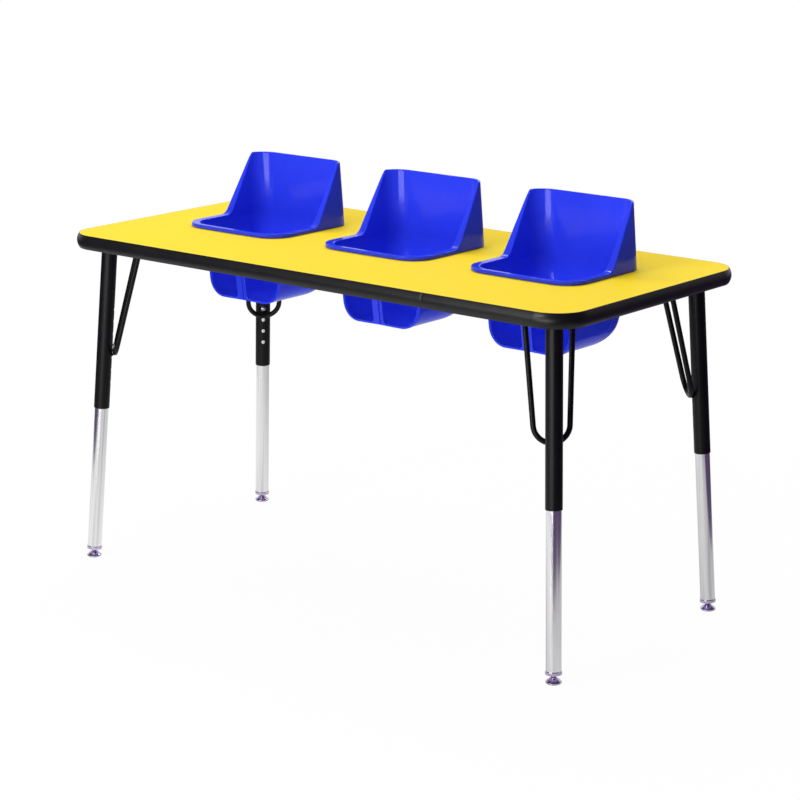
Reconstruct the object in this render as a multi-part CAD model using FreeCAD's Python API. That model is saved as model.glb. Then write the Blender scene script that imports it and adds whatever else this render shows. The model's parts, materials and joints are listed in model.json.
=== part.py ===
import FreeCAD, Part
import math
import os

# Childrens feeding table: a laminated top with three moulded bucket seats let into it,
# on four splayed telescopic legs. Millimetres, +Z up, +X along the top, +Y towards the seat backs.
# The origin is on the floor, under the middle of the top.

V = FreeCAD.Vector

# Table top, measured over the laminate
table_height = 685.8
top_length = 1220.0
top_depth = 586.0
top_corner_radius = 62.0
laminate_thickness = 1.2
core_thickness = 26.6
backing_thickness = 0.8

# Edge band, a T-section pressed into a groove round the core
band_bulge = 5.6
band_land = 0.9
band_spine_depth = 10.0
band_spine_thickness = 2.2
band_fit_gap = 0.1
groove_end_gap = 1.0

# Seats: spacing, the rim on the table and the back above it
seat_count = 3
seat_pitch = 358.0
seat_rear_margin = 138.0
rim_half_width = 128.0
rim_depth = 245.0
rim_bow = 3.0
rim_front_radius = 50.0
rim_rear_radius = 46.0
rim_height = 8.5
back_height = 130.0
back_wall = 4.5
back_side_draft = 8.4
back_rear_draft = 8.0
back_front_radius = 41.0
back_rear_radius = 41.5
wing_foot_setback = 132.5
wing_top_setback = 205.5
wing_foot_radius = 22.0
wing_top_radius = 6.0
rim_edge_radius = 1.9
rim_foot_radius = 3.0
match_gap = 0.001

# Seat bucket: its mouth at the table's surface, and its walls below a shoulder
bucket_depth = 146.0
bucket_wall = 4.0
bucket_side_step = 14.5
bucket_side_taper = 24.0
bucket_rear_step = 7.5
bucket_rear_taper = 6.0
bucket_rear_radius = 42.0
mouth_front_step = 7.0
mouth_front_radius = 46.0
shoulder_depth = 34.0
bucket_front_step = 23.0
bucket_front_taper = 24.0
bucket_front_radius = 12.0
bucket_upper_bow = 38.0
bucket_lower_bow = 5.0
bucket_side_round = 38.0
bucket_rear_round = 60.0
bucket_front_round = 14.0
bucket_corner_shrink_share = 0.35
bucket_round_steps = 6

# Frame across the bucket's front, with two leg openings and the post between them
frame_proud = 2.0
frame_depth = 7.0
frame_lap = 0.4
frame_drop = 0.5
frame_foot_radius = 42.0
frame_arch = 2.2
frame_arch_radius = 60.0
opening_sill = 5.0
opening_head = 41.0
opening_side_margin = 6.5
opening_post_half_width = 12.0
opening_small_radius = 8.0
opening_foot_radius = 34.0
opening_head_radius = 14.0
opening_reach = 76.0
post_rib_width = 9.0
post_rib_proud = 2.5

# Seat cut-out and the tabs that hold each seat down
cutout_gap = 1.5
cutout_corner_radius = 35.0
tab_length = 36.0
tab_width = 28.0
tab_thickness = 2.0
tab_corner_radius = 5.0
tab_wall_gap = 1.2
tab_spread = 120.0
tab_middle_setback = 124.0
tab_screw_inset = 12.0
lug_gap = 0.3
lug_height = 8.0
lug_width = 22.0
lug_cutout_gap = 1.2

# Wood screws under the top
wood_screw_radius = 2.1
wood_screw_length = 20.0
wood_screw_tip_length = 5.0
wood_screw_head_radius = 4.2
wood_screw_head_height = 2.6
pilot_gap = 0.1
pilot_tip_gap = 1.0
hole_gap = 0.4

# Mounting plate: distances inward from the leg's axis and across it
plate_thickness = 3.0
plate_outer_reach = 25.0
plate_outer_half_width = 25.0
plate_middle_reach = 12.0
plate_middle_half_width = 45.0
plate_inner_reach = 84.0
plate_inner_half_width = 60.0
plate_corner_radius = 12.0
plate_side_screw_reach = 2.0
plate_side_screw_offset = 33.0
plate_middle_screw_reach = 32.0
plate_inner_screw_reach = 73.0
plate_inner_screw_offset = 21.0

# Legs: place of each axis in the surface of the top and on the floor
leg_inset_x = 63.5
leg_inset_y = 60.8
leg_splay_x = 38.4
leg_splay_y = 31.0

# Leg tubes, measured along the leg from the floor
upper_tube_radius = 15.875
upper_tube_wall = 1.5
upper_tube_start = 321.3
lower_tube_radius = 14.3
lower_tube_wall = 1.4
tube_end_chamfer = 0.5

# Height adjustment: a row of holes up the upper tube's inward side, and one screw
hole_pitch = 25.4
holes_each_way = 3
adjust_hole_radius = 4.4
screw_height = 131.1
screw_radius = 3.0
screw_head_radius = 5.5
screw_head_height = 3.2
screw_head_edge = 1.2
screw_seat_gap = 0.3
screw_hole_gap = 0.15
screw_recess_length = 5.6
screw_recess_width = 1.3
screw_recess_depth = 1.6
thread_block_height = 16.0
thread_block_depth = 8.5
thread_block_gap = 0.1
tube_above_screw = 25.0

# U-shaped brace of round rod
brace_rod_radius = 5.2
brace_bend_radius = 33.4
brace_foot_below_screw = 14.2
brace_tube_gap = 0.15
brace_top_reach = 58.5
brace_top_half_width = 43.5

# Glide at the foot of each leg
insert_start = 17.6
insert_flange_height = 6.4
insert_flange_radius = 15.5
insert_flange_edge = 0.8
insert_plug_height = 14.0
insert_plug_gap = 0.1
insert_bore_gap = 0.05
stem_thread_radius = 4.0
stem_neck_radius = 3.0
stem_collar_radius = 5.5
stem_collar_height = 2.2
ball_radius = 5.2
ball_height = 7.4
ball_gap = 0.05
socket_mouth_radius = 4.4
glide_base_radius = 15.3
glide_rim_height = 4.4
glide_sole_radius = 10.4
glide_top_radius = 5.2
glide_height = 12.4
glide_waist_share = 0.42
glide_waist_radius = 11.5

# Overrun of a cutting tool past the face that it cuts
overrun = 2.0

top_thickness = laminate_thickness + core_thickness + backing_thickness
half_length = top_length / 2
half_depth = top_depth / 2
underside = table_height - top_thickness
core_bottom = underside + backing_thickness
core_top = core_bottom + core_thickness
plate_bottom = underside - plate_thickness

rim_rear = half_depth - seat_rear_margin
rim_front = rim_rear - rim_depth
rim_arc_radius = (rim_half_width ** 2 + rim_bow ** 2) / (2 * rim_bow)
seat_names = ["left", "centre", "right"]

leg_corners = {
    "front_left": (-1, -1),
    "front_right": (1, -1),
    "rear_right": (1, 1),
    "rear_left": (-1, 1),
}


def export(shape, node):
    """Writes one node."""
    shape.exportStep("parts/" + node + ".step")
    print(node, len(shape.Solids), round(shape.Volume), shape.isValid())


def corner_arc(before, corner, after, radius):
    """The start, middle and end of the arc that rounds one corner of an outline."""
    into = (before - corner).normalize()
    out = (after - corner).normalize()
    half_angle = into.getAngle(out) / 2
    reach = radius / math.tan(half_angle)
    bisector = (into + out).normalize()
    centre = corner + bisector * (radius / math.sin(half_angle))
    return corner + into * reach, centre - bisector * radius, corner + out * reach


def rounded_outline(points, radii):
    """A closed wire through points whose corners are rounded by radii."""
    count = len(points)
    arcs = []
    for i in range(count):
        if radii[i] > 0:
            arcs.append(corner_arc(points[i - 1], points[i], points[(i + 1) % count], radii[i]))
        else:
            arcs.append((points[i], None, points[i]))
    edges = []
    for i in range(count):
        start, middle, end = arcs[i]
        if middle is not None:
            edges.append(Part.Arc(start, middle, end).toShape())
        following = arcs[(i + 1) % count][0]
        if end.distanceToPoint(following) > 0:
            edges.append(Part.LineSegment(end, following).toShape())
    return Part.Wire(edges)


def prism(wire, direction):
    """The solid that a closed flat wire sweeps along a direction."""
    return Part.Face(wire).extrude(direction)


def rounded_block(low_x, low_y, high_x, high_y, radius, low_z, high_z):
    """An upright block with rounded vertical corners."""
    corners = [(low_x, low_y), (high_x, low_y), (high_x, high_y), (low_x, high_y)]
    points = [V(x, y, low_z) for x, y in corners]
    return prism(rounded_outline(points, [radius] * len(points)), V(0, 0, high_z - low_z))


def fuse_all(shapes):
    """One solid from several that touch or overlap."""
    first = shapes[0]
    return first.multiFuse(shapes[1:]).removeSplitter()


# Seat geometry, with the seat's middle at x = 0 and heights from the table's surface

def seat_section(half_width, front, rear, arc_radius, front_radius, rear_radius, height):
    """A level section of the seat: straight sides and rear, and a front that bows forward."""
    arc_centre_y = front + arc_radius
    corner_x = half_width - front_radius
    corner_y = arc_centre_y - math.sqrt((arc_radius - front_radius) ** 2 - corner_x ** 2)
    stretch = arc_radius / (arc_radius - front_radius)
    tangent_x = corner_x * stretch
    tangent_y = arc_centre_y + (corner_y - arc_centre_y) * stretch
    diagonal = V(half_width - corner_x + tangent_x - corner_x, tangent_y - corner_y, 0).normalize()
    mid = V(corner_x, corner_y, 0) + diagonal * front_radius
    rear_x = half_width - rear_radius
    rear_y = rear - rear_radius
    rear_mid = rear_radius * math.sqrt(0.5)

    def at(x, y):
        return V(x, y, height)

    def line(start, end):
        return Part.LineSegment(start, end).toShape()

    def arc(start, middle, end):
        return Part.Arc(start, middle, end).toShape()

    return Part.Wire([
        arc(at(-tangent_x, tangent_y), at(0, front), at(tangent_x, tangent_y)),
        arc(at(tangent_x, tangent_y), at(mid.x, mid.y), at(half_width, corner_y)),
        line(at(half_width, corner_y), at(half_width, rear_y)),
        arc(at(half_width, rear_y), at(rear_x + rear_mid, rear_y + rear_mid), at(rear_x, rear)),
        line(at(rear_x, rear), at(-rear_x, rear)),
        arc(at(-rear_x, rear), at(-rear_x - rear_mid, rear_y + rear_mid), at(-half_width, rear_y)),
        line(at(-half_width, rear_y), at(-half_width, corner_y)),
        arc(at(-half_width, corner_y), at(-mid.x, mid.y), at(-tangent_x, tangent_y)),
    ])


def bucket_half_width(depth):
    """Half the bucket's outer width at a depth below the table's surface."""
    return rim_half_width - bucket_side_step - bucket_side_taper * depth / bucket_depth


def bucket_front(depth):
    """The bucket's foremost point at a depth below the table's surface."""
    return rim_front + bucket_front_step + bucket_front_taper * depth / bucket_depth


def bucket_rear(depth):
    """The bucket's rear face at a depth below the table's surface."""
    return rim_rear - bucket_rear_step - bucket_rear_taper * depth / bucket_depth


def bow_radius(half_width, bow):
    """The radius of an arc that bows forward over a half width."""
    return (half_width ** 2 + bow ** 2) / (2 * bow)


def bucket_arc_radius(depth):
    """The radius of the bucket's bowed front at a depth below the table's surface."""
    bow = bucket_upper_bow + (bucket_lower_bow - bucket_upper_bow) * depth / bucket_depth
    return bow_radius(bucket_half_width(depth), bow)


def round_inset(height, radius):
    """How far a rounded lower edge lies inside the wall at a height above the floor."""
    if height >= radius:
        return 0
    return radius - math.sqrt(radius ** 2 - (radius - height) ** 2)


def bucket_section(depth, wall):
    """The bucket's section at a depth, drawn in by a wall's thickness."""
    height = bucket_depth - wall - depth
    side_inset = round_inset(height, bucket_side_round - wall)
    front_inset = round_inset(height, bucket_front_round - wall)
    rear_inset = round_inset(height, bucket_rear_round - wall)
    shrink = side_inset * bucket_corner_shrink_share
    half_width = bucket_half_width(depth) - wall - side_inset
    return seat_section(
        half_width,
        bucket_front(depth) + wall + front_inset,
        bucket_rear(depth) - wall - rear_inset,
        bucket_arc_radius(depth) - wall - front_inset,
        bucket_front_radius - wall,
        bucket_rear_radius - wall - shrink,
        -depth,
    )


def mouth_section(wall):
    """The bucket's section at the table's surface, drawn in by a wall's thickness."""
    return seat_section(
        bucket_half_width(0) - wall,
        rim_front + mouth_front_step + wall,
        bucket_rear(0) - wall,
        rim_arc_radius - wall,
        mouth_front_radius - wall,
        bucket_rear_radius - wall,
        0,
    )


def bucket_solid(wall):
    """The bucket filled solid, drawn in by a wall's thickness."""
    straight_depth = bucket_depth - bucket_rear_round
    floor = bucket_depth - wall
    rounding = floor - straight_depth
    levels = [mouth_section(wall)]
    for depth in (shoulder_depth, straight_depth):
        levels.append(bucket_section(depth, wall))
    walls = Part.makeLoft(levels, True, True)
    sections = []
    for step in range(bucket_round_steps + 1):
        turn = math.pi / 2 * step / bucket_round_steps
        sections.append(bucket_section(straight_depth + rounding * math.sin(turn), wall))
    bowl = Part.makeLoft(sections, True, False)
    return fuse_all([walls, bowl])


def back_block():
    """The rim and back at full height all round, filled solid."""
    foot = seat_section(
        rim_half_width,
        rim_front,
        rim_rear,
        rim_arc_radius,
        rim_front_radius,
        rim_rear_radius,
        0,
    )
    head = seat_section(
        rim_half_width - back_side_draft,
        rim_front + back_rear_draft,
        rim_rear - back_rear_draft,
        rim_arc_radius,
        back_front_radius,
        back_rear_radius,
        back_height,
    )
    return Part.makeLoft([foot, head], True, True)


def seat_cavity():
    """The space inside the rim and back, down to the bucket's inner edge."""
    head = seat_section(
        rim_half_width - back_side_draft - back_wall,
        rim_front + back_rear_draft + back_wall,
        rim_rear - back_rear_draft - back_wall,
        rim_arc_radius,
        back_front_radius - back_wall,
        back_rear_radius - back_wall,
        back_height,
    )
    return Part.makeLoft([mouth_section(bucket_wall), head], True, True)


def side_profile():
    """What stays of the rim and back, seen from the side: low in front, then the wing's slope."""
    side = -rim_half_width - overrun
    far_front = rim_front - overrun
    far_rear = rim_rear + overrun
    outline = rounded_outline(
        [
            V(side, far_front, 0),
            V(side, far_front, rim_height),
            V(side, rim_front + wing_foot_setback, rim_height),
            V(side, rim_front + wing_top_setback, back_height),
            V(side, far_rear, back_height),
            V(side, far_rear, 0),
        ],
        [0, 0, wing_foot_radius, wing_top_radius, 0, 0],
    )
    return prism(outline, V(-2 * side, 0, 0))


def upper_edges(shape, profile):
    """The edges on both sides of the faces that the side profile leaves along the rim and back."""
    surface = Part.makeCompound(profile.Faces)
    found = {}
    for face in shape.Faces:
        low_u, high_u, low_v, high_v = face.ParameterRange
        middle = face.valueAt((low_u + high_u) / 2, (low_v + high_v) / 2)
        if middle.z > match_gap and surface.distToShape(Part.Vertex(middle))[0] < match_gap:
            for edge in face.Edges:
                found.setdefault(edge.hashCode(), []).append(edge)
    return [edges[0] for edges in found.values() if len(edges) == 1]


def lower_edges(shape):
    """The outer edges of the rim's flat underside."""
    for face in shape.Faces:
        if face.BoundBox.ZMax < match_gap:
            return face.OuterWire.Edges


def rim_and_back():
    """The rim, back and side wings above the table, with rounded edges."""
    profile = side_profile()
    shape = back_block().common(profile).cut(seat_cavity())
    shape = shape.makeFillet(rim_edge_radius, upper_edges(shape, profile))
    return shape.makeFillet(rim_foot_radius, lower_edges(shape))


def frame_section(depth):
    """A level section of the slab that the front's frame is cut from, along the bucket's bowed front."""
    radius = bucket_arc_radius(depth)
    centre = bucket_front(depth) + radius
    span = rim_half_width
    corners = []
    for arc_radius in (radius + frame_proud, radius - frame_depth):
        y = centre - math.sqrt(arc_radius ** 2 - span ** 2)
        corners.append((V(-span, y, -depth), V(0, centre - arc_radius, -depth), V(span, y, -depth)))
    outer, inner = corners
    return Part.Wire([
        Part.Arc(*outer).toShape(),
        Part.LineSegment(outer[2], inner[2]).toShape(),
        Part.Arc(*reversed(inner)).toShape(),
        Part.LineSegment(inner[0], outer[0]).toShape(),
    ])


def front_frame():
    """The frame across the bucket's front, before the leg openings are cut."""
    lower = bucket_depth + frame_drop
    slab = Part.makeLoft([frame_section(shoulder_depth), frame_section(lower)], True, True)
    head = bucket_half_width(shoulder_depth) + frame_lap
    foot = bucket_half_width(bucket_depth) + frame_lap
    outline = rounded_outline(
        [
            V(-head, rim_front, -shoulder_depth),
            V(-foot, rim_front, -lower),
            V(0, rim_front, -lower + frame_arch),
            V(foot, rim_front, -lower),
            V(head, rim_front, -shoulder_depth),
        ],
        [0, frame_foot_radius, frame_arch_radius, frame_foot_radius, 0],
    )
    return slab.common(prism(outline, V(0, rim_depth, 0)))


def leg_opening(side):
    """The cutter for one leg opening, side being -1 or 1."""
    sill = bucket_depth - opening_sill
    foot_span = bucket_half_width(sill) - opening_side_margin
    head_span = bucket_half_width(opening_head) - opening_side_margin
    points = [
        V(side * opening_post_half_width, rim_front, -sill),
        V(side * foot_span, rim_front, -sill),
        V(side * head_span, rim_front, -opening_head),
        V(side * opening_post_half_width, rim_front, -opening_head),
    ]
    radii = [opening_small_radius, opening_foot_radius, opening_head_radius, opening_small_radius]
    return prism(rounded_outline(points, radii), V(0, opening_reach, 0))


def post_rib():
    """The rib down the front of the post between the leg openings."""
    upper = (shoulder_depth + opening_head) / 2
    lower = bucket_depth - opening_sill / 2
    side = -post_rib_width / 2
    proud = frame_proud + post_rib_proud
    wire = Part.makePolygon([
        V(side, bucket_front(upper) + bucket_wall, -upper),
        V(side, bucket_front(upper) - proud, -upper),
        V(side, bucket_front(lower) - proud, -lower),
        V(side, bucket_front(lower) + bucket_wall, -lower),
        V(side, bucket_front(upper) + bucket_wall, -upper),
    ])
    return prism(wire, V(post_rib_width, 0, 0))


def tab_places():
    """The four tabs round one seat: the side that each is on and its middle along Y."""
    middle = rim_front + tab_middle_setback
    return [(side, middle + along * tab_spread / 2) for side in (-1, 1) for along in (-1, 1)]


def cutout_half_width():
    """Half the width of the cut-out that the seat hangs in."""
    return bucket_half_width(0) + cutout_gap


def lug(side, y):
    """A moulded lug on the bucket's side that hooks under a tab."""
    top = -(top_thickness + tab_thickness + lug_gap)
    low_x = bucket_half_width(bucket_depth / 2)
    high_x = cutout_half_width() - lug_cutout_gap
    low = V(low_x, y - lug_width / 2, top - lug_height)
    block = Part.makeBox(high_x - low_x, lug_width, lug_height, low)
    if side < 0:
        block = block.mirror(V(0, 0, 0), V(1, 0, 0))
    return block


def make_seat():
    """One seat, with its middle at x = 0 and the table's surface at z = 0."""
    lugs = [lug(side, y) for side, y in tab_places()]
    outside = fuse_all([bucket_solid(0), front_frame(), post_rib()] + lugs)
    below = outside.cut(bucket_solid(bucket_wall))
    for side in (-1, 1):
        below = below.cut(leg_opening(side))
    return fuse_all([rim_and_back(), below])


def cutout(low_z, high_z):
    """The cutter for one seat's opening in the sheets of the top, at x = 0."""
    half_width = cutout_half_width()
    front = rim_front + mouth_front_step - cutout_gap
    rear = bucket_rear(0) + cutout_gap
    return rounded_block(-half_width, front, half_width, rear, cutout_corner_radius, low_z, high_z)


def seat_x(index):
    """Where a seat's middle is along the table."""
    return (index - (seat_count - 1) / 2) * seat_pitch


# Wood screws and their places

def wood_screw(under_head):
    """A pan-head wood screw that points up, with the underside of its head at a height."""
    shank_length = wood_screw_length - wood_screw_tip_length
    shank = Part.makeCylinder(wood_screw_radius, shank_length, V(0, 0, under_head))
    tip = Part.makeCone(wood_screw_radius, 0, wood_screw_tip_length, V(0, 0, under_head + shank_length))
    head_at = V(0, 0, under_head - wood_screw_head_height)
    head = Part.makeCylinder(wood_screw_head_radius, wood_screw_head_height, head_at)
    head = head.makeFillet(wood_screw_head_height / 2, [head.Edges[2]])
    return fuse_all([shank, tip, head])


def plate_screw_places():
    """The five plate screws, as reach inward from the leg's axis and offset across it."""
    return [
        (plate_side_screw_reach, -plate_side_screw_offset),
        (plate_side_screw_reach, plate_side_screw_offset),
        (plate_middle_screw_reach, 0),
        (plate_inner_screw_reach, -plate_inner_screw_offset),
        (plate_inner_screw_reach, plate_inner_screw_offset),
    ]


def leg_foot(corner):
    """Where a leg's axis meets the floor."""
    return V(corner[0] * (half_length - leg_inset_x + leg_splay_x),
             corner[1] * (half_depth - leg_inset_y + leg_splay_y), 0)


def leg_up(corner):
    """The unit direction up a leg."""
    return V(-corner[0] * leg_splay_x, -corner[1] * leg_splay_y, table_height).normalize()


def leg_inward(corner):
    """The level diagonal from a leg towards the inside of the table, which its brace faces."""
    return V(-corner[0], -corner[1], 0).normalize()


def frame_placement(origin, x_axis, z_axis):
    """A placement from an origin, a direction near X and an exact Z."""
    across = z_axis.cross(x_axis).normalize()
    square = across.cross(z_axis).normalize()
    matrix = FreeCAD.Matrix(
        square.x, across.x, z_axis.x, origin.x,
        square.y, across.y, z_axis.y, origin.y,
        square.z, across.z, z_axis.z, origin.z,
        0, 0, 0, 1,
    )
    return FreeCAD.Placement(matrix)


def placed(shape, placement):
    """A copy of a shape moved by a placement."""
    copy = shape.copy()
    copy.Placement = placement.multiply(copy.Placement)
    return copy


def leg_placement(corner):
    """From leg coordinates (X inward, Z up the leg, origin on the floor)."""
    return frame_placement(leg_foot(corner), leg_inward(corner), leg_up(corner))


def plate_placement(corner):
    """From plate coordinates (X inward, Z up, origin where the leg's axis meets the underside)."""
    up = leg_up(corner)
    return frame_placement(leg_foot(corner) + up * (underside / up.z), leg_inward(corner), V(0, 0, 1))


def tab_screw_points(index):
    """Where the tab screws of one seat stand."""
    reach = bucket_half_width(top_thickness) + tab_wall_gap + tab_length - tab_screw_inset
    return [V(seat_x(index) + side * reach, y, 0) for side, y in tab_places()]


def all_screw_points():
    """Every wood screw's place in plan, with the height of its head's underside."""
    points = []
    for index in range(seat_count):
        for point in tab_screw_points(index):
            points.append(V(point.x, point.y, underside - tab_thickness))
    for corner in leg_corners.values():
        placement = plate_placement(corner)
        for reach, offset in plate_screw_places():
            spot = placement.multVec(V(reach, offset, 0))
            points.append(V(spot.x, spot.y, plate_bottom))
    return points


# The sheets of the top

def top_sheet(low_z, high_z):
    """One sheet of the top with the three seat cut-outs."""
    radius = top_corner_radius
    sheet = rounded_block(-half_length, -half_depth, half_length, half_depth, radius, low_z, high_z)
    for index in range(seat_count):
        opening = cutout(low_z - overrun, high_z + overrun)
        opening.translate(V(seat_x(index), 0, 0))
        sheet = sheet.cut(opening)
    return sheet


def drilled(sheet, gap):
    """A sheet with the holes of the wood screws, wider than the screws by a gap."""
    radius = wood_screw_radius + gap
    depth = wood_screw_length + pilot_tip_gap
    holes = [Part.makeCylinder(radius, depth, point) for point in all_screw_points()]
    return sheet.cut(Part.makeCompound(holes))


def band_groove():
    """The groove round the core for the band's spine."""
    middle = underside + top_thickness / 2
    low = middle - band_spine_thickness / 2 - band_fit_gap
    high = middle + band_spine_thickness / 2 + band_fit_gap
    depth = band_spine_depth + groove_end_gap
    outer = rounded_block(-half_length - overrun, -half_depth - overrun, half_length + overrun,
                          half_depth + overrun, top_corner_radius + overrun, low, high)
    inner = rounded_block(-half_length + depth, -half_depth + depth, half_length - depth,
                          half_depth - depth, top_corner_radius - depth, low, high)
    return outer.cut(inner)


def band_profile():
    """The band's section in the XZ plane, with the top's edge at x = 0 and its underside at z = 0."""
    back = band_fit_gap
    middle = top_thickness / 2
    spine_low = middle - band_spine_thickness / 2
    spine_high = middle + band_spine_thickness / 2
    low = V(band_land, 0, 0)
    high = V(band_land, 0, top_thickness)
    points = [
        high,
        V(back, 0, top_thickness),
        V(back, 0, spine_high),
        V(-band_spine_depth, 0, spine_high),
        V(-band_spine_depth, 0, spine_low),
        V(back, 0, spine_low),
        V(back, 0, 0),
        low,
    ]
    edges = [Part.LineSegment(start, end).toShape() for start, end in zip(points, points[1:])]
    edges.append(Part.Arc(low, V(band_bulge, 0, middle), high).toShape())
    return Part.Wire(edges)


def edge_band():
    """The band round the top: straight stretches and quarter turns."""
    section = Part.Face(band_profile())
    straight_x = half_length - top_corner_radius
    straight_y = half_depth - top_corner_radius
    pieces = []
    turns = [(1, -1, -90), (1, 1, 0), (-1, 1, 90), (-1, -1, 180)]
    for side_x, side_y, start in turns:
        quarter = section.copy()
        quarter.translate(V(top_corner_radius, 0, 0))
        quarter.rotate(V(0, 0, 0), V(0, 0, 1), start)
        centre = V(side_x * straight_x, side_y * straight_y, underside)
        quarter.translate(centre)
        pieces.append(quarter.revolve(centre, V(0, 0, 1), 90))
    runs = [
        (0, V(half_length, -straight_y, underside), V(0, 2 * straight_y, 0)),
        (90, V(straight_x, half_depth, underside), V(-2 * straight_x, 0, 0)),
        (180, V(-half_length, straight_y, underside), V(0, -2 * straight_y, 0)),
        (270, V(-straight_x, -half_depth, underside), V(2 * straight_x, 0, 0)),
    ]
    for turn, start, direction in runs:
        stretch = section.copy()
        stretch.rotate(V(0, 0, 0), V(0, 0, 1), turn)
        stretch.translate(start)
        pieces.append(stretch.extrude(direction))
    return fuse_all(pieces)


# Seat tabs

def seat_tab(side, y):
    """One flat tab under the top, with its screw hole."""
    near = bucket_half_width(top_thickness) + tab_wall_gap
    far = near + tab_length
    low = underside - tab_thickness
    edge = y - tab_width / 2
    block = rounded_block(near, edge, far, edge + tab_width, tab_corner_radius, low, underside)
    start = V(far - tab_screw_inset, y, low - overrun)
    block = block.cut(Part.makeCylinder(wood_screw_radius + hole_gap, tab_thickness + 2 * overrun, start))
    if side < 0:
        block = block.mirror(V(0, 0, 0), V(1, 0, 0))
    return block


# Leg parts in leg coordinates

def mounting_plate():
    """The plate in plate coordinates, under z = 0."""
    low = -plate_thickness
    points = [
        V(-plate_outer_reach, -plate_outer_half_width, low),
        V(plate_middle_reach, -plate_middle_half_width, low),
        V(plate_inner_reach, -plate_inner_half_width, low),
        V(plate_inner_reach, plate_inner_half_width, low),
        V(plate_middle_reach, plate_middle_half_width, low),
        V(-plate_outer_reach, plate_outer_half_width, low),
    ]
    plate = prism(rounded_outline(points, [plate_corner_radius] * len(points)), V(0, 0, plate_thickness))
    for reach, offset in plate_screw_places():
        plate = plate.cut(Part.makeCylinder(wood_screw_radius + hole_gap, plate_thickness + 2 * overrun,
                                            V(reach, offset, low - overrun)))
    return plate


def above_plate(corner):
    """Everything above the plate's lower face, for trimming the leg's top."""
    point = plate_placement(corner).multVec(V(0, 0, 0))
    size = 2 * (plate_inner_reach + plate_inner_half_width)
    return Part.makeBox(size, size, size, V(point.x - size / 2, point.y - size / 2, plate_bottom))


def leg_top_length(corner):
    """A length up the leg that passes the plate."""
    return table_height / leg_up(corner).z


def screw_place():
    """The adjusting screw's height up the leg."""
    return upper_tube_start + screw_height


def tube(outer, wall, start, end):
    """A tube along the leg with a small chamfer round each end's outer edge."""
    rod = Part.makeCylinder(outer, end - start, V(0, 0, start))
    rod = rod.makeChamfer(tube_end_chamfer, [rod.Edges[0], rod.Edges[2]])
    return rod.cut(Part.makeCylinder(outer - wall, end - start + 2 * overrun, V(0, 0, start - overrun)))


def upper_tube(corner):
    """The fixed tube with its row of holes, trimmed to the plate."""
    body = tube(upper_tube_radius, upper_tube_wall, upper_tube_start, leg_top_length(corner))
    for step in range(-holes_each_way, holes_each_way + 1):
        body = body.cut(Part.makeCylinder(adjust_hole_radius, upper_tube_radius + overrun,
                                          V(0, 0, screw_place() + step * hole_pitch), V(1, 0, 0)))
    return placed(body, leg_placement(corner)).cut(above_plate(corner))


def lower_tube():
    """The sliding tube with one hole for the screw."""
    start = insert_start + insert_flange_height
    body = tube(lower_tube_radius, lower_tube_wall, start, screw_place() + tube_above_screw)
    return body.cut(Part.makeCylinder(screw_radius + screw_hole_gap, lower_tube_radius + overrun,
                                      V(0, 0, screw_place()), V(1, 0, 0)))


def thread_block():
    """The threaded block welded inside the sliding tube."""
    radius = lower_tube_radius - lower_tube_wall - thread_block_gap
    low = screw_place() - thread_block_height / 2
    block = Part.makeCylinder(radius, thread_block_height, V(0, 0, low))
    near = V(radius - thread_block_depth, -radius, low)
    block = block.common(Part.makeBox(thread_block_depth, 2 * radius, thread_block_height, near))
    return block.cut(Part.makeCylinder(screw_radius + screw_hole_gap, lower_tube_radius + overrun,
                                       V(0, 0, screw_place()), V(1, 0, 0)))


def adjusting_screw():
    """The pan-head screw through the upper tube into the thread block."""
    seat = upper_tube_radius + screw_seat_gap
    tip = lower_tube_radius - lower_tube_wall - thread_block_gap - thread_block_depth
    at = screw_place()
    shank = Part.makeCylinder(screw_radius, seat - tip, V(tip, 0, at), V(1, 0, 0))
    disc = Part.makeCylinder(screw_head_radius, screw_head_edge, V(seat, 0, at), V(1, 0, 0))
    rise = screw_head_height - screw_head_edge
    dome_radius = (screw_head_radius ** 2 + rise ** 2) / (2 * rise)
    ball = Part.makeSphere(dome_radius, V(seat + screw_head_height - dome_radius, 0, at))
    cap = Part.makeCylinder(screw_head_radius, rise, V(seat + screw_head_edge, 0, at), V(1, 0, 0))
    dome = ball.common(cap)
    screw = fuse_all([shank, disc, dome])
    depth = seat + screw_head_height - screw_recess_depth
    slots = [(screw_recess_length, screw_recess_width), (screw_recess_width, screw_recess_length)]
    for length, width in slots:
        near = V(depth, -length / 2, at - width / 2)
        screw = screw.cut(Part.makeBox(screw_recess_depth + overrun, length, width, near))
    return screw


def u_brace(corner):
    """The U-shaped rod: two prongs from the plate that meet in a bend against the tube."""
    foot_height = screw_place() - brace_foot_below_screw
    foot_reach = upper_tube_radius + brace_tube_gap + brace_rod_radius
    up = leg_up(corner)
    top_height = plate_bottom / up.z
    foot = V(foot_reach, 0, foot_height)
    lean = V(brace_top_reach - foot_reach, 0, top_height - foot_height)
    rise = lean.Length
    lean.normalize()
    across = V(0, 1, 0)
    centre = foot + lean * brace_bend_radius
    reach = rise - brace_bend_radius
    distance = math.hypot(brace_top_half_width, reach)
    spread = math.atan2(brace_top_half_width, reach) - math.asin(brace_bend_radius / distance)
    ends = []
    turns = []
    for side in (-1, 1):
        outward = across * (side * brace_bend_radius * math.cos(spread))
        turn = centre + outward - lean * (brace_bend_radius * math.sin(spread))
        away = across * (side * math.sin(spread)) + lean * math.cos(spread)
        turns.append(turn)
        ends.append(turn + away * rise)
    path = Part.Wire([
        Part.LineSegment(ends[0], turns[0]).toShape(),
        Part.Arc(turns[0], foot, turns[1]).toShape(),
        Part.LineSegment(turns[1], ends[1]).toShape(),
    ])
    section = Part.Wire([Part.Circle(ends[0], turns[0] - ends[0], brace_rod_radius).toShape()])
    rod = path.makePipeShell([section], True, False)
    return placed(rod, leg_placement(corner)).cut(above_plate(corner))


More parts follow.
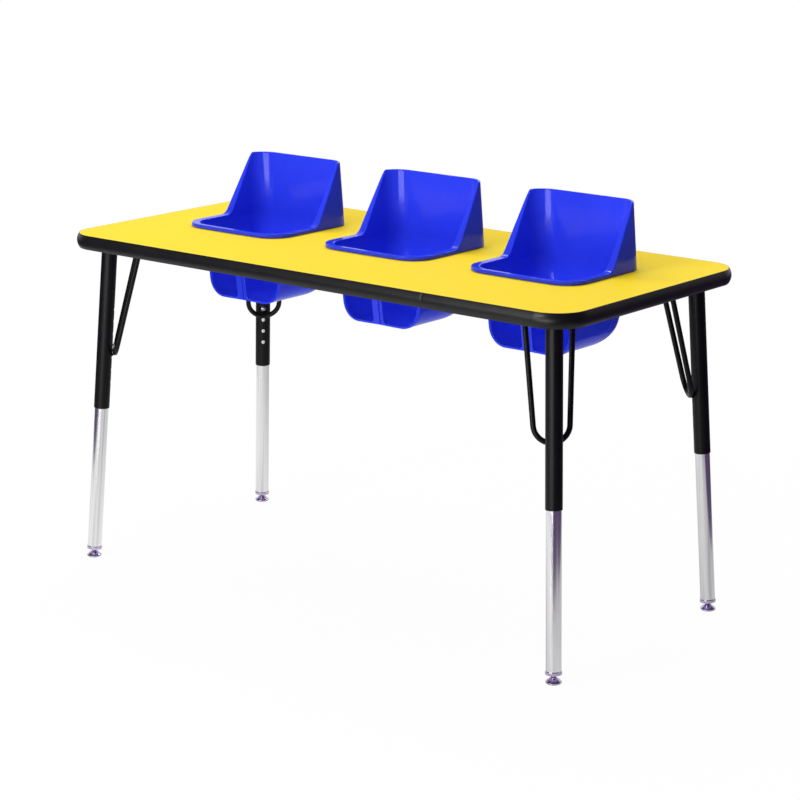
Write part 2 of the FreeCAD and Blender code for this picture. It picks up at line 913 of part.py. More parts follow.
def leg_insert():
    """The plug in the sliding tube's foot, with its flange below the tube."""
    flange = Part.makeCylinder(insert_flange_radius, insert_flange_height, V(0, 0, insert_start))
    flange = flange.makeFillet(insert_flange_edge, [flange.Edges[0], flange.Edges[2]])
    plug_radius = lower_tube_radius - lower_tube_wall - insert_plug_gap
    plug_at = V(0, 0, insert_start + insert_flange_height)
    plug = Part.makeCylinder(plug_radius, insert_plug_height, plug_at)
    bore_length = insert_flange_height + insert_plug_height + 2 * overrun
    bore_radius = stem_thread_radius + insert_bore_gap
    bore = Part.makeCylinder(bore_radius, bore_length, V(0, 0, insert_start - overrun))
    return fuse_all([flange, plug]).cut(bore)


def ball_place(corner):
    """The ball's height up the leg."""
    return ball_height / leg_up(corner).z


def glide_stem(corner):
    """The stem with its thread, collar, neck and ball."""
    ball_at = ball_place(corner)
    collar_start = insert_start - stem_collar_height
    thread_length = insert_flange_height + insert_plug_height
    thread = Part.makeCylinder(stem_thread_radius, thread_length, V(0, 0, insert_start))
    collar = Part.makeCylinder(stem_collar_radius, stem_collar_height, V(0, 0, collar_start))
    neck = Part.makeCylinder(stem_neck_radius, collar_start - ball_at, V(0, 0, ball_at))
    ball = Part.makeSphere(ball_radius, V(0, 0, ball_at))
    return fuse_all([thread, collar, neck, ball])


def glide_base():
    """The foot's cone with its ball socket, standing on z = 0."""
    waist_height = glide_rim_height + (glide_height - glide_rim_height) * glide_waist_share
    halfway = math.sqrt(0.5)
    rim_out = glide_sole_radius + (glide_base_radius - glide_sole_radius) * halfway
    rim_mid = V(rim_out, 0, glide_rim_height * (1 - halfway))
    sole = V(glide_sole_radius, 0, 0)
    rim = V(glide_base_radius, 0, glide_rim_height)
    waist = V(glide_waist_radius, 0, waist_height)
    top = V(glide_top_radius, 0, glide_height)
    middle_top = V(0, 0, glide_height)
    outline = Part.Wire([
        Part.LineSegment(V(0, 0, 0), sole).toShape(),
        Part.Arc(sole, rim_mid, rim).toShape(),
        Part.Arc(rim, waist, top).toShape(),
        Part.LineSegment(top, middle_top).toShape(),
        Part.LineSegment(middle_top, V(0, 0, 0)).toShape(),
    ])
    body = Part.Face(outline).revolve(V(0, 0, 0), V(0, 0, 1), 360)
    body = body.cut(Part.makeSphere(ball_radius + ball_gap, V(0, 0, ball_height)))
    return body.cut(Part.makeCylinder(socket_mouth_radius, glide_height, V(0, 0, ball_height)))


def make_top():
    core = drilled(top_sheet(core_bottom, core_top), pilot_gap).cut(band_groove())
    export(core, "top_core")
    export(top_sheet(core_top, table_height), "top_laminate")
    export(drilled(top_sheet(underside, core_bottom), hole_gap), "backing_sheet")
    export(edge_band(), "edge_band")


def make_seats():
    seat = make_seat()
    for index in range(seat_count):
        name = seat_names[index]
        place = V(seat_x(index), 0, table_height)
        copy = seat.copy()
        copy.translate(place)
        export(copy, "seat_" + name)
        tabs = Part.makeCompound([seat_tab(side, y) for side, y in tab_places()])
        tabs.translate(V(seat_x(index), 0, 0))
        export(tabs, "seat_tabs_" + name)
        screws = []
        for point in tab_screw_points(index):
            screw = wood_screw(underside - tab_thickness)
            screw.translate(point)
            screws.append(screw)
        export(Part.makeCompound(screws), "seat_tab_screws_" + name)


def make_leg(name, corner):
    plate_at = plate_placement(corner)
    leg_at = leg_placement(corner)
    export(placed(mounting_plate(), plate_at), "mounting_plate_" + name)
    screws = []
    for reach, offset in plate_screw_places():
        screw = wood_screw(-plate_thickness)
        screw.translate(V(reach, offset, 0))
        screws.append(placed(screw, plate_at))
    export(Part.makeCompound(screws), "plate_screws_" + name)
    export(upper_tube(corner), "upper_tube_" + name)
    export(u_brace(corner), "u_brace_" + name)
    export(placed(lower_tube(), leg_at), "lower_tube_" + name)
    export(placed(thread_block(), leg_at), "thread_block_" + name)
    export(placed(adjusting_screw(), leg_at), "adjusting_screw_" + name)
    export(placed(leg_insert(), leg_at), "leg_insert_" + name)
    export(placed(glide_stem(corner), leg_at), "glide_stem_" + name)
    ball = leg_at.multVec(V(0, 0, ball_place(corner)))
    base = glide_base()
    base.translate(V(ball.x, ball.y, 0))
    export(base, "glide_base_" + name)


os.makedirs("parts", exist_ok=True)
make_top()
make_seats()
for corner_name, corner_signs in leg_corners.items():
    make_leg(corner_name, corner_signs)
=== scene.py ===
import json
from math import copysign, cos, pi, radians, sin

import bpy
import numpy as np
from mathutils import Matrix, Vector


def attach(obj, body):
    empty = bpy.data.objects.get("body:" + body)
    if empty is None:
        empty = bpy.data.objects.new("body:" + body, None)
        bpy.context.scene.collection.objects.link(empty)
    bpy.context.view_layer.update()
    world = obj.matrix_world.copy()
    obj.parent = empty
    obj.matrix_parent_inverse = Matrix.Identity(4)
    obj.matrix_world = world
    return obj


# The childrens feeding table: finishes of the CAD pieces, weld beads, studio and camera.
# Metres, +X along the top, +Y towards the seat backs, +Z up, origin on the floor.

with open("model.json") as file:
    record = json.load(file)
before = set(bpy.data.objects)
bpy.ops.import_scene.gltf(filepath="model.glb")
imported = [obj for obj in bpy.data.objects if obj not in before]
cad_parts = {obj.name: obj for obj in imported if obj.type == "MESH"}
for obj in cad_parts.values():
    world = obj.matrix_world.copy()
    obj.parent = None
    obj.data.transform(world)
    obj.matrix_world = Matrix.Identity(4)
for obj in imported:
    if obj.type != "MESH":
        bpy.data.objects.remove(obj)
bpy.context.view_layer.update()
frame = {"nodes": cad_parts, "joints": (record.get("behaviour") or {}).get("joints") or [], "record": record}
nodes = frame["nodes"]
joints = {joint["name"]: joint for joint in frame["joints"]}
slot_of = {part["node"]: part["material_slot"] for part in frame["record"]["subparts"]}

LEGS = ("front_left", "front_right", "rear_right", "rear_left")

# Faces that meet at a sharper turn than this keep their edge when the rest is shaded smooth
SHARP_TURN = radians(32)


def leg_axis(name):
    """Where a leg's axis meets the floor, and its upward direction, from the leg's joints."""
    up = -Vector(joints["leg_slide_" + name]["axis"])
    ball = Vector(joints["glide_tilt_" + name]["pos_m"])
    return ball - up * (ball.z / up.z), up


# Node helpers

class Tree:
    """A node tree in the making."""

    def __init__(self, tree):
        self.tree = tree

    def add(self, kind, **values):
        node = self.tree.nodes.new(kind)
        for key, value in values.items():
            setattr(node, key, value)
        return node

    def wire(self, source, target):
        self.tree.links.new(source, target)

    def feed(self, port, value):
        """Wires an output into the port, or sets the port to a number or a colour."""
        if isinstance(value, bpy.types.NodeSocket):
            self.wire(value, port)
        elif isinstance(value, tuple):
            port.default_value = (*value, 1.0)
        else:
            port.default_value = value

    def maths(self, operation, *values):
        node = self.add("ShaderNodeMath", operation=operation)
        for port, value in zip(node.inputs, values):
            self.feed(port, value)
        return node.outputs[0]

    def mix(self, factor, low, high):
        """A colour that is low where the factor is 0 and high where it is 1."""
        node = self.add("ShaderNodeMix", data_type="RGBA")
        ports = [port for port in node.inputs if port.enabled]
        for port, value in zip(ports, (factor, low, high)):
            self.feed(port, value)
        return [port for port in node.outputs if port.enabled][0]


class Shader(Tree):
    """A material in the making, with its Principled shader at hand."""

    def __init__(self, name):
        self.material = bpy.data.materials.new(name)
        self.material.use_nodes = True
        super().__init__(self.material.node_tree)
        self.surface = self.tree.nodes["Principled BSDF"]
        self.place = self.add("ShaderNodeTexCoord").outputs["Object"]

    def fix(self, **values):
        """Sets the shader's own sockets, named with underscores for blanks."""
        for key, value in values.items():
            self.surface.inputs[key.replace("_", " ")].default_value = value

    def scaled(self, scale):
        mapping = self.add("ShaderNodeMapping")
        mapping.inputs["Scale"].default_value = scale
        self.wire(self.place, mapping.inputs["Vector"])
        return mapping.outputs["Vector"]

    def noise(self, size, detail=4.0, rough=0.55, squeeze=(1.0, 1.0, 1.0)):
        """Noise whose largest blobs are about size metres across, over the squeeze along each axis."""
        node = self.add("ShaderNodeTexNoise")
        node.inputs["Scale"].default_value = 1.0
        node.inputs["Detail"].default_value = detail
        node.inputs["Roughness"].default_value = rough
        node.inputs["Distortion"].default_value = 0.0
        self.wire(self.scaled([share / size for share in squeeze]), node.inputs["Vector"])
        return node.outputs["Fac"]

    def cells(self, size, feature="F1"):
        node = self.add("ShaderNodeTexVoronoi", feature=feature)
        node.inputs["Scale"].default_value = 1.0
        self.wire(self.scaled([1.0 / size] * 3), node.inputs["Vector"])
        return node

    def parts(self, vector):
        """The outputs X, Y and Z of a vector."""
        node = self.add("ShaderNodeSeparateXYZ")
        self.wire(vector, node.inputs["Vector"])
        return node.outputs

    def grey(self, colour):
        node = self.add("ShaderNodeRGBToBW")
        self.wire(colour, node.inputs["Color"])
        return node.outputs["Val"]

    def ramp(self, source, *stops):
        """A colour ramp; each stop is (position, colour), the colour three numbers or a grey."""
        node = self.add("ShaderNodeValToRGB")
        line = node.color_ramp
        while len(line.elements) < len(stops):
            line.elements.new(0.5)
        for element, (position, colour) in zip(line.elements, stops):
            tone = colour if isinstance(colour, tuple) else (colour,) * 3
            element.position = position
            element.color = (*tone, 1.0)
        self.wire(source, node.inputs["Fac"])
        return node.outputs["Color"]

    def spread(self, source, low, high):
        """A source of 0 to 1, spread from low to high."""
        node = self.add("ShaderNodeMapRange")
        node.inputs["To Min"].default_value = low
        node.inputs["To Max"].default_value = high
        self.wire(source, node.inputs["Value"])
        return node.outputs["Result"]

    def bump(self, height, depth, under=None):
        """Bump of that depth in metres, over another normal if given."""
        node = self.add("ShaderNodeBump")
        node.inputs["Distance"].default_value = depth
        node.inputs["Strength"].default_value = 1.0
        self.wire(height, node.inputs["Height"])
        if under is not None:
            self.wire(under, node.inputs["Normal"])
        return node.outputs["Normal"]

    def soft_edges(self, radius):
        node = self.add("ShaderNodeBevel", samples=6)
        node.inputs["Radius"].default_value = radius
        return node.outputs["Normal"]

    def colour(self, source):
        self.wire(source, self.surface.inputs["Base Color"])

    def roughness(self, source):
        self.wire(source, self.surface.inputs["Roughness"])

    def normal(self, source):
        self.wire(source, self.surface.inputs["Normal"])


# Materials, each named as its slot

def blue_plastic():
    """Glossy moulded plastic, slightly translucent: faint flow marks, a fine dimple and hair scratches."""
    deep, bright, dimpled = (0.023, 0.047, 0.75), (0.028, 0.053, 0.81), (0.036, 0.062, 0.84)
    s = Shader("blue_plastic")
    cloud = s.noise(size=0.11, detail=3.0)
    fine = s.noise(size=0.0035, detail=2.0)
    tone = s.ramp(cloud, (0.3, deep), (0.7, bright))
    s.colour(s.mix(s.spread(fine, low=0.0, high=0.10), tone, dimpled))
    scuffs = s.noise(size=0.05, detail=6.0, rough=0.7, squeeze=(1.0, 1.0, 0.25))
    s.roughness(s.spread(scuffs, low=0.06, high=0.16))
    wave = s.noise(size=0.035, detail=1.0)
    ripple = s.bump(wave, depth=0.00030, under=s.soft_edges(radius=0.0012))
    s.normal(s.bump(fine, depth=0.00004, under=ripple))
    s.fix(Specular_IOR_Level=0.17)
    s.fix(Subsurface_Weight=0.35, Subsurface_Scale=0.006, Subsurface_Radius=(0.15, 0.25, 1.0))
    return s.material


def yellow_laminate():
    """High pressure laminate: saturated yellow, a fine satin pebble and a few dull rub marks."""
    deep, bright, pebbled = (0.965, 0.712, 0.022), (0.985, 0.730, 0.028), (0.93, 0.67, 0.017)
    s = Shader("yellow_laminate")
    cloud = s.noise(size=0.30, detail=3.0)
    pebble = s.noise(size=0.0014, detail=3.0, rough=0.6)
    tone = s.ramp(cloud, (0.35, deep), (0.65, bright))
    s.colour(s.mix(s.spread(pebble, low=0.0, high=0.14), tone, pebbled))
    rubbed = s.noise(size=0.09, detail=6.0, rough=0.65)
    s.roughness(s.spread(rubbed, low=0.46, high=0.58))
    s.normal(s.bump(pebble, depth=0.00003))
    s.fix(Specular_IOR_Level=0.04)
    return s.material


# Where the ends of the edge band meet: a groove at this X, from the half width of its floor to its edge
BAND_JOINT_X = 0.3015
BAND_JOINT_FLOOR = 0.0002
BAND_JOINT_EDGE = 0.0006
BAND_JOINT_DEPTH = 0.0004
# The distance from the joint is taken as at least this, plus a share of Y, so only the front has the groove
BAND_JOINT_LEAST = 0.0030
BAND_JOINT_Y_SHARE = 0.01


def black_edge():
    """Extruded vinyl band: near black, drawn lengthwise, satin, with a hairline where its ends meet."""
    deep, faded = (0.0030, 0.0034, 0.0031), (0.0062, 0.0066, 0.0063)
    s = Shader("black_edge")
    drawn = s.noise(size=0.0030, detail=3.0, squeeze=(0.18, 0.18, 1.6))
    worn = s.noise(size=0.06, detail=6.0, rough=0.7)
    s.colour(s.ramp(worn, (0.35, deep), (0.75, faded)))
    s.roughness(s.spread(worn, low=0.33, high=0.41))
    parts = s.parts(s.place)
    aside = s.maths("ABSOLUTE", s.maths("SUBTRACT", parts["X"], BAND_JOINT_X))
    least = s.maths("MULTIPLY_ADD", parts["Y"], BAND_JOINT_Y_SHARE, BAND_JOINT_LEAST)
    groove = s.ramp(s.maths("MAXIMUM", aside, least), (BAND_JOINT_FLOOR, 0.0), (BAND_JOINT_EDGE, 1.0))
    s.normal(s.bump(groove, depth=BAND_JOINT_DEPTH, under=s.bump(drawn, depth=0.00002)))
    s.fix(Specular_IOR_Level=0.35)
    return s.material


def black_paint():
    """Powder coat on tube and rod: near black with a fine orange peel."""
    deep, faded = (0.0016, 0.0016, 0.0017), (0.0040, 0.0040, 0.0042)
    s = Shader("black_paint")
    peel = s.noise(size=0.0016, detail=2.0)
    worn = s.noise(size=0.05, detail=6.0, rough=0.7)
    s.colour(s.ramp(worn, (0.3, deep), (0.8, faded)))
    s.roughness(s.spread(worn, low=0.32, high=0.42))
    s.normal(s.bump(peel, depth=0.00005, under=s.soft_edges(radius=0.0006)))
    s.fix(Specular_IOR_Level=0.20)
    return s.material


def along_leg(s):
    """The place measured along and around a leg, alike for all four, and the leg's axis."""
    up = leg_axis(LEGS[0])[1]
    parts = s.parts(s.place)
    place = s.add("ShaderNodeCombineXYZ")
    axis = s.add("ShaderNodeCombineXYZ")
    for port, lean in (("X", up.x), ("Y", up.y)):
        splay = abs(lean) / up.z
        folded = s.maths("ABSOLUTE", parts[port])
        s.wire(s.maths("MULTIPLY_ADD", parts["Z"], splay, folded), place.inputs[port])
        s.wire(s.maths("MULTIPLY", s.maths("SIGN", parts[port]), -splay), axis.inputs[port])
    s.wire(parts["Z"], place.inputs["Z"])
    axis.inputs["Z"].default_value = 1.0
    return place.outputs["Vector"], axis.outputs["Vector"]


def chrome_tube():
    """Bright plate on drawn tube: mirror with faint lengthwise drawing lines, soft haze, and lengthwise
    light and dark bands in its colour that are partly drawing streaks and partly a painted reflection of the
    room.
    """
    # The dull, bright and brightest tones make lengthwise bands: partly real drawing streaks, partly painted
    # reflection of light and dark parts of the room
    dull, bright, brightest = (0.66, 0.66, 0.675), (0.92, 0.92, 0.92), (0.97, 0.97, 0.97)
    hazy = (0.80, 0.79, 0.80)
    lengthwise = (1.0, 1.0, 0.02)
    s = Shader("chrome_tube")
    s.place, axis = along_leg(s)
    haze = s.noise(size=0.04, detail=5.0, rough=0.65)
    lines = s.noise(size=0.0016, detail=2.0, squeeze=lengthwise)
    # Lengthwise streak noise: drawn marks whose strong light and dark contrast is painted reflection banding
    drawn_streaks_and_painted_bands = s.noise(size=0.011, detail=3.0, rough=0.6, squeeze=lengthwise)
    tone = s.ramp(drawn_streaks_and_painted_bands, (0.35, dull), (0.5, bright), (0.65, brightest))
    s.colour(s.mix(s.spread(haze, low=0.0, high=0.25), tone, hazy))
    s.roughness(s.spread(haze, low=0.11, high=0.16))
    s.normal(s.bump(lines, depth=0.000004))
    s.wire(axis, s.surface.inputs["Tangent"])
    s.fix(Metallic=1.0, Anisotropic=0.8)
    return s.material


def nickel():
    """Nickel on the glides: bright, slightly violet, with turning marks."""
    deep, bright = (0.50, 0.43, 0.60), (0.66, 0.60, 0.74)
    s = Shader("nickel")
    haze = s.noise(size=0.012, detail=5.0)
    turned = s.noise(size=0.0012, detail=2.0, squeeze=(0.1, 0.1, 1.4))
    s.colour(s.ramp(haze, (0.3, deep), (0.7, bright)))
    s.roughness(s.spread(haze, low=0.12, high=0.24))
    s.normal(s.bump(turned, depth=0.00005, under=s.soft_edges(radius=0.0005)))
    s.fix(Metallic=1.0)
    return s.material


def zinc_steel():
    """Zinc plated sheet and screws: mottled grey, half gloss."""
    dull, bright = (0.50, 0.51, 0.53), (0.64, 0.65, 0.66)
    s = Shader("zinc_steel")
    spangle = s.grey(s.cells(size=0.006).outputs["Color"])
    s.colour(s.ramp(spangle, (0.2, dull), (0.8, bright)))
    s.roughness(s.spread(s.noise(size=0.01), low=0.26, high=0.42))
    s.normal(s.bump(s.noise(size=0.0012), depth=0.00004, under=s.soft_edges(radius=0.0003)))
    s.fix(Metallic=1.0)
    return s.material


def particle_board():
    """Pressed chips: short flat flakes in several straw tones with dark gaps."""
    brown, tan, straw, gap = (0.30, 0.19, 0.10), (0.46, 0.32, 0.18), (0.58, 0.44, 0.27), (0.20, 0.12, 0.06)
    chip_size = 0.0030
    s = Shader("particle_board")
    chips = s.grey(s.cells(chip_size).outputs["Color"])
    flakes = s.ramp(chips, (0.1, brown), (0.5, tan), (0.9, straw))
    gaps = s.cells(chip_size, feature="DISTANCE_TO_EDGE").outputs["Distance"]
    s.colour(s.mix(s.ramp(gaps, (0.0, 0.0), (0.08, 1.0)), gap, flakes))
    s.roughness(s.spread(s.noise(size=0.004), low=0.75, high=0.92))
    s.normal(s.bump(gaps, depth=0.0002))
    return s.material


def backing():
    """Brown phenolic backing sheet under the core: dark, fine paper grain, dull."""
    deep, bright, grainy = (0.085, 0.052, 0.032), (0.120, 0.076, 0.048), (0.16, 0.105, 0.07)
    s = Shader("backing")
    grain = s.noise(size=0.0022, detail=3.0, squeeze=(0.25, 1.0, 1.0))
    cloud = s.noise(size=0.08, detail=4.0)
    tone = s.ramp(cloud, (0.3, deep), (0.7, bright))
    s.colour(s.mix(s.spread(grain, low=0.0, high=0.35), tone, grainy))
    s.roughness(s.spread(grain, low=0.55, high=0.72))
    s.normal(s.bump(grain, depth=0.00006))
    s.fix(Specular_IOR_Level=0.3)
    return s.material


makers = (
    blue_plastic, yellow_laminate, black_edge, black_paint, chrome_tube,
    nickel, zinc_steel, particle_board, backing)
made = {make.__name__: make() for make in makers}
for name, node in nodes.items():
    node.data.materials.clear()
    node.data.materials.append(made[slot_of[name]])
    node.data.shade_smooth()
    node.data.set_sharp_from_angle(angle=SHARP_TURN)


# Weld beads under the black paint, which the solids leave out

WELD_RADIUS = 0.0019
WELD_SIDES = 10
# One lump of the bead for each such length, with a neck, a wobble and drawn-in ends, as shares of the radius
WELD_LUMP = 0.0032
WELD_NECK_SHARE = 0.84
WELD_WOBBLE_SHARE = 0.04
WELD_END_SHARE = 0.45
WELD_END_STEP_SHARE = 0.25

# The ring where an upper tube meets its mounting plate: its place off the tube's wall and below its end
TUBE_WELD_OFF = 0.0004
TUBE_WELD_BELOW = 0.0006
TUBE_WELD_STEPS = 72
TUBE_WELD_SEED = 10

# The two arcs where a brace crosses the tube: off the wall, above or below the rod's middle, and either way
BRACE_ROD_RADIUS = 0.0052
BRACE_WELD_OFF = 0.000725
BRACE_WELD_LIFT = 0.0046
BRACE_WELD_FLARE = 0.0012
BRACE_WELD_TURN = 0.42
BRACE_WELD_HALF_STEPS = 7
BRACE_WELD_SEED = 30


def bead(name, path, closed, seed):
    """A row of overlapping weld lumps along a path, as one lumpy tube."""
    wobble = np.random.RandomState(seed)
    count = len(path)
    points, faces = [], []
    length = 0.0
    for i, place in enumerate(path):
        before = path[i - 1] if (closed or i > 0) else path[0]
        after = path[(i + 1) % count] if (closed or i < count - 1) else path[-1]
        along = (after - before).normalized()
        side = along.orthogonal().normalized()
        over = along.cross(side)
        length += (place - path[i - 1]).length if i else 0.0
        lump = WELD_NECK_SHARE + (1.0 - WELD_NECK_SHARE) * abs(cos(pi * length / WELD_LUMP))
        lump += wobble.uniform(-WELD_WOBBLE_SHARE, WELD_WOBBLE_SHARE)
        taper = 1.0 if closed else min(1.0, WELD_END_SHARE + WELD_END_STEP_SHARE * min(i, count - 1 - i))
        radius = WELD_RADIUS * lump * taper
        for k in range(WELD_SIDES):
            turn = 2 * pi * k / WELD_SIDES
            points.append(place + (side * cos(turn) + over * sin(turn)) * radius)
    for i in range(count if closed else count - 1):
        here, there = i * WELD_SIDES, (i + 1) % count * WELD_SIDES
        for k in range(WELD_SIDES):
            beside = (k + 1) % WELD_SIDES
            faces.append((here + k, here + beside, there + beside, there + k))
    if not closed:
        faces.append(tuple(reversed(range(WELD_SIDES))))
        faces.append(tuple(range((count - 1) * WELD_SIDES, count * WELD_SIDES)))
    mesh = bpy.data.meshes.new(name)
    mesh.from_pydata(points, [], faces)
    mesh.shade_smooth()
    mesh.materials.append(made["black_paint"])
    thing = bpy.data.objects.new(name, mesh)
    bpy.context.scene.collection.objects.link(thing)
    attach(thing, "table")


def upper_tube(name):
    """The outer radius of a leg's upper tube, and the height of its end under the plate."""
    foot, up = leg_axis(name)
    places = [vertex.co for vertex in nodes["upper_tube_" + name].data.vertices]
    return max((place - foot).cross(up).length for place in places), max(place.z for place in places)


def tube_top_weld(name, seed):
    """Where the upper tube meets its mounting plate."""
    foot, up = leg_axis(name)
    tube_radius, tube_top = upper_tube(name)
    centre = foot + up * (tube_top / up.z)
    east = up.cross(Vector((0, 1, 0))).normalized()
    north = up.cross(east)
    path = []
    for i in range(TUBE_WELD_STEPS):
        turn = 2 * pi * i / TUBE_WELD_STEPS
        rim = centre + (east * cos(turn) + north * sin(turn)) * (tube_radius + TUBE_WELD_OFF)
        path.append(rim - up * ((rim.z - tube_top + TUBE_WELD_BELOW) / up.z))
    bead("weld_tube_" + name, path, True, seed)


def brace_weld(name, seed):
    """Above and below the brace's bend, where it crosses the upper tube."""
    foot, up = leg_axis(name)
    tube_radius = upper_tube(name)[0]
    lowest = min((vertex.co - foot).dot(up) for vertex in nodes["u_brace_" + name].data.vertices)
    height = lowest + BRACE_ROD_RADIUS
    inward = Vector((copysign(1.0, -foot.x), copysign(1.0, -foot.y), 0.0)).normalized()
    out = (inward - up * inward.dot(up)).normalized()
    across = up.cross(out)
    for side, word in ((1, "upper"), (-1, "lower")):
        path = []
        for i in range(-BRACE_WELD_HALF_STEPS, BRACE_WELD_HALF_STEPS + 1):
            turn = i / BRACE_WELD_HALF_STEPS * BRACE_WELD_TURN
            ring = out * cos(turn) + across * sin(turn)
            lift = BRACE_WELD_LIFT + BRACE_WELD_FLARE * abs(turn)
            if word == "upper":
                lift += BRACE_ROD_RADIUS * (1 - cos(turn))
            path.append(foot + up * (height + side * lift) + ring * (tube_radius + BRACE_WELD_OFF))
        bead("weld_brace_" + word + "_" + name, path, False, seed + (side > 0))


for order, name in enumerate(LEGS):
    tube_top_weld(name, TUBE_WELD_SEED + order)
    brace_weld(name, BRACE_WELD_SEED + 2 * order)


# Studio: the photograph looks from the front right, which TO_CAMERA gives as a fixed direction

VIEW_YAW = -0.6711
TO_CAMERA = (-sin(VIEW_YAW), -cos(VIEW_YAW), 0.0)
TO_RIGHT = (cos(VIEW_YAW), -sin(VIEW_YAW), 0.0)
TO_FRONT = (0.0, -1.0, 0.0)
TO_TOP = (0.0, 0.0, 1.0)
FROM_RIGHT = (0.97, 0.25, 0.0)
WHITE = (1.0, 1.0, 1.0)

# What bright metal mirrors in front of the object: a dark room, and on its floor a sheet of white paper
# that ends this far from the origin, with a soft edge, and is shaded from its left to its right
DARK_ROOM = (0.085, 0.050, 0.125)
PAPER_FRONT = 1.40
PAPER_RIGHT = 1.15
PAPER_LEFT = 1.55
PAPER_EDGE = 0.05
PAPER_SHADE_LEFT = -1.0
PAPER_SHADE_RIGHT = 1.1
PAPER_LIGHT = (0.88, 0.88, 0.88)
PAPER_DARK = (0.52, 0.51, 0.53)
# From here to there, as directions, the room behind the object turns white
BEHIND_START = -0.25
BEHIND_END = -0.75

# The floor: its half width, its own colour, and how much of it glows, to the eye and to other rays.
# Near the object a little of the glow gives way to the object's shadow
FLOOR_HALF = 14.0
FLOOR_COLOUR = (0.88, 0.88, 0.88)
FLOOR_GLOW_SHARE = 0.35
SHADOW_GLOW_SHARE = 0.96
SHADOW_NEAR = 0.9
SHADOW_FAR = 2.0

# The world's soft light: its greys from the left, the right, the front and above, and where each starts
# and ends, as directions
LIGHT_LEFT = (0.60, 0.60, 0.60)
LIGHT_RIGHT = (0.05, 0.05, 0.05)
LIGHT_FRONT = (0.30, 0.30, 0.30)
LIGHT_TOP = (0.96, 0.96, 0.96)
SIDE_START = -0.9
SIDE_END = 0.9
FRONT_START = 0.2
TOP_START = 0.35
FULL = 1.0


class Stage(Tree):
    """The look of the floor or the world, by fixed directions and by the kind of ray."""

    def __init__(self, tree):
        super().__init__(tree)
        tree.nodes.clear()

    def step(self, source, start, end, low, high):
        """Low up to start and high from end on, with a soft step between."""
        node = self.add("ShaderNodeMapRange", interpolation_type="SMOOTHSTEP")
        node.inputs["From Min"].default_value = start
        node.inputs["From Max"].default_value = end
        node.inputs["To Min"].default_value = low
        node.inputs["To Max"].default_value = high
        self.wire(source, node.inputs["Value"])
        return node.outputs["Result"]

    def fade(self, source, along, start, end):
        """0 at start and 1 at end, measured along a direction."""
        dot = self.add("ShaderNodeVectorMath", operation="DOT_PRODUCT")
        self.wire(source, dot.inputs[0])
        dot.inputs[1].default_value = along
        if start < end:
            return self.step(dot.outputs["Value"], start, end, 0.0, 1.0)
        return self.step(dot.outputs["Value"], end, start, 1.0, 0.0)

    def rays(self):
        """(camera rays, camera or glossy or transmission rays)."""
        path = self.add("ShaderNodeLightPath")
        mirrored = self.maths("MAXIMUM", path.outputs["Is Glossy Ray"], path.outputs["Is Transmission Ray"])
        return path.outputs["Is Camera Ray"], self.maths("MAXIMUM", path.outputs["Is Camera Ray"], mirrored)

    def shader(self, kind, colour):
        node = self.add(kind)
        self.feed(node.inputs["Color"], colour)
        return node.outputs[0]

    def blend(self, factor, low, high):
        node = self.add("ShaderNodeMixShader")
        for port, value in zip(node.inputs, (factor, low, high)):
            self.wire(value, port)
        return node.outputs[0]

    def end(self, kind, surface):
        self.wire(surface, self.add(kind).inputs["Surface"])


def make_floor():
    mesh = bpy.data.meshes.new("floor")
    corners = [(x * FLOOR_HALF, y * FLOOR_HALF, 0) for x, y in ((-1, -1), (1, -1), (1, 1), (-1, 1))]
    mesh.from_pydata(corners, [], [(0, 1, 2, 3)])
    floor = bpy.data.objects.new("floor", mesh)
    bpy.context.scene.collection.objects.link(floor)
    material = bpy.data.materials.new("floor")
    material.use_nodes = True
    s = Stage(material.node_tree)
    place = s.add("ShaderNodeNewGeometry").outputs["Position"]
    ahead = s.fade(place, TO_CAMERA, PAPER_FRONT + PAPER_EDGE, PAPER_FRONT)
    right = s.fade(place, TO_RIGHT, PAPER_RIGHT + PAPER_EDGE, PAPER_RIGHT)
    left = s.fade(place, TO_RIGHT, -PAPER_LEFT - PAPER_EDGE, -PAPER_LEFT)
    paper = s.maths("MULTIPLY", ahead, s.maths("MULTIPLY", right, left))
    shade = s.mix(s.fade(place, TO_RIGHT, PAPER_SHADE_LEFT, PAPER_SHADE_RIGHT), PAPER_LIGHT, PAPER_DARK)
    by_eye, seen = s.rays()
    look = s.mix(by_eye, s.mix(paper, DARK_ROOM, shade), WHITE)
    away = s.add("ShaderNodeVectorMath", operation="LENGTH")
    s.wire(place, away.inputs[0])
    far_off = s.step(away.outputs["Value"], SHADOW_NEAR, SHADOW_FAR, SHADOW_GLOW_SHARE, 1.0)
    glow = s.maths("MAXIMUM", s.maths("MULTIPLY", seen, far_off), FLOOR_GLOW_SHARE)
    matte = s.shader("ShaderNodeBsdfDiffuse", FLOOR_COLOUR)
    white = s.shader("ShaderNodeEmission", look)
    s.end("ShaderNodeOutputMaterial", s.blend(glow, matte, white))
    mesh.materials.append(material)


def make_world():
    world = bpy.data.worlds.new("studio")
    bpy.context.scene.world = world
    world.use_nodes = True
    s = Stage(world.node_tree)
    toward = s.add("ShaderNodeTexCoord").outputs["Generated"]
    behind = s.fade(toward, TO_CAMERA, BEHIND_START, BEHIND_END)
    by_eye, seen = s.rays()
    look = s.mix(by_eye, s.mix(behind, DARK_ROOM, WHITE), WHITE)
    sides = s.mix(s.fade(toward, FROM_RIGHT, SIDE_START, SIDE_END), LIGHT_LEFT, LIGHT_RIGHT)
    around = s.mix(s.fade(toward, TO_FRONT, FRONT_START, FULL), sides, LIGHT_FRONT)
    light = s.mix(s.fade(toward, TO_TOP, TOP_START, FULL), around, LIGHT_TOP)
    soft = s.shader("ShaderNodeBackground", light)
    white = s.shader("ShaderNodeBackground", look)
    s.end("ShaderNodeOutputWorld", s.blend(seen, soft, white))


# Lamps

TABLE_MIDDLE = (0.0, 0.0, 0.7)
ALONG_TOP = (1.0, 0.0, 0.0)


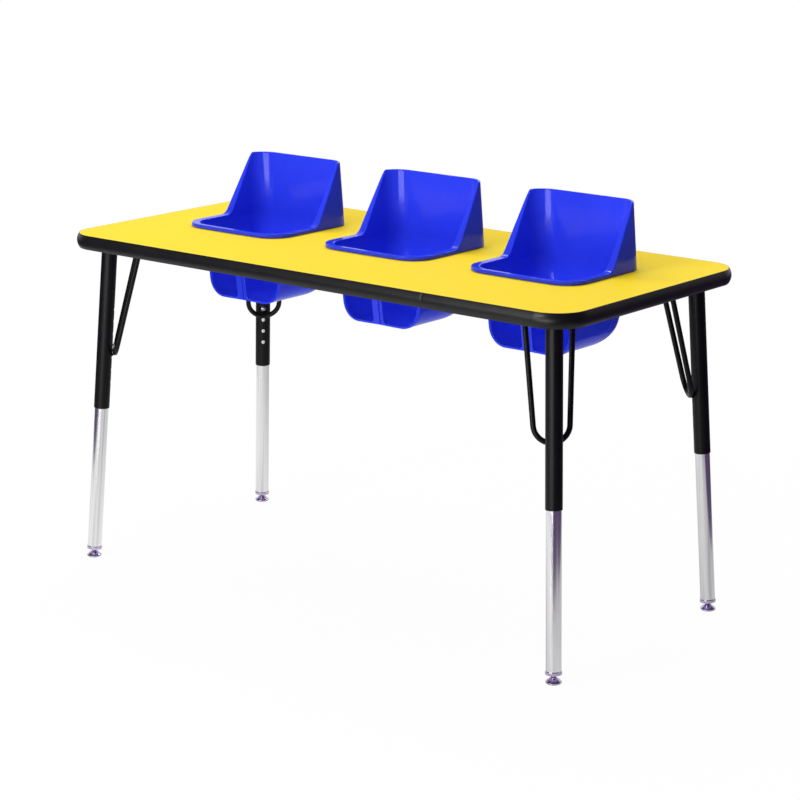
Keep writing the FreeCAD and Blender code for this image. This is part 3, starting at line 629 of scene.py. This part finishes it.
def softbox(name, place, aim, along, width, height, radiance):
    """An area lamp, its width along a direction, whose face has that radiance whatever its size."""
    lamp = bpy.data.lights.new(name, "AREA")
    lamp.shape = "RECTANGLE"
    lamp.size = width
    lamp.size_y = height
    lamp.energy = radiance * width * height * pi
    thing = bpy.data.objects.new(name, lamp)
    back = (Vector(place) - Vector(aim)).normalized()
    side = Vector(along) - back * back.dot(Vector(along))
    side.normalize()
    turn = Matrix((side, back.cross(side), back)).transposed().to_4x4()
    thing.matrix_world = Matrix.Translation(place) @ turn
    bpy.context.scene.collection.objects.link(thing)


# Camera, fitted to the photograph

CAMERA_PLACE = (2.9916, -3.7450, 1.6022)
CAMERA_PITCH = -0.2496
CAMERA_ROLL = 0.0070
CAMERA_SENSOR_MM = 36.0
CAMERA_LENS_MM = 112.03
CAMERA_REACH = 60.0


def make_camera():
    yaw, pitch, roll = VIEW_YAW, CAMERA_PITCH, CAMERA_ROLL
    ahead = Vector((cos(pitch) * sin(yaw), cos(pitch) * cos(yaw), sin(pitch)))
    level = Vector((cos(yaw), -sin(yaw), 0.0))
    above = level.cross(ahead)
    right = level * cos(roll) + above * sin(roll)
    up = above * cos(roll) - level * sin(roll)
    data = bpy.data.cameras.new("camera")
    data.sensor_width = CAMERA_SENSOR_MM
    data.lens = CAMERA_LENS_MM
    data.clip_end = CAMERA_REACH
    camera = bpy.data.objects.new("camera", data)
    turn = Matrix((right, up, -ahead)).transposed().to_4x4()
    camera.matrix_world = Matrix.Translation(CAMERA_PLACE) @ turn
    bpy.context.scene.collection.objects.link(camera)
    bpy.context.scene.camera = camera


make_floor()
make_world()
softbox(
    "key", place=(-0.35, -3.0, 2.15), aim=TABLE_MIDDLE, along=ALONG_TOP,
    width=1.10, height=0.90, radiance=14.0)
softbox(
    "glint", place=(-0.85, -3.0, 0.9), aim=TABLE_MIDDLE, along=ALONG_TOP,
    width=0.25, height=0.75, radiance=24.0)
softbox(
    "low_panel", place=(0.70, -3.0, 0.33), aim=(0.1, 0.0, 0.6), along=ALONG_TOP,
    width=2.0, height=0.55, radiance=9.0)
softbox(
    "overhead", place=(-0.95, 1.55, 3.1), aim=TABLE_MIDDLE, along=(2.3, 3.1, 0.0),
    width=3.8, height=0.20, radiance=17.0)
make_camera()

scene = bpy.context.scene
scene.view_settings.view_transform = "Standard"
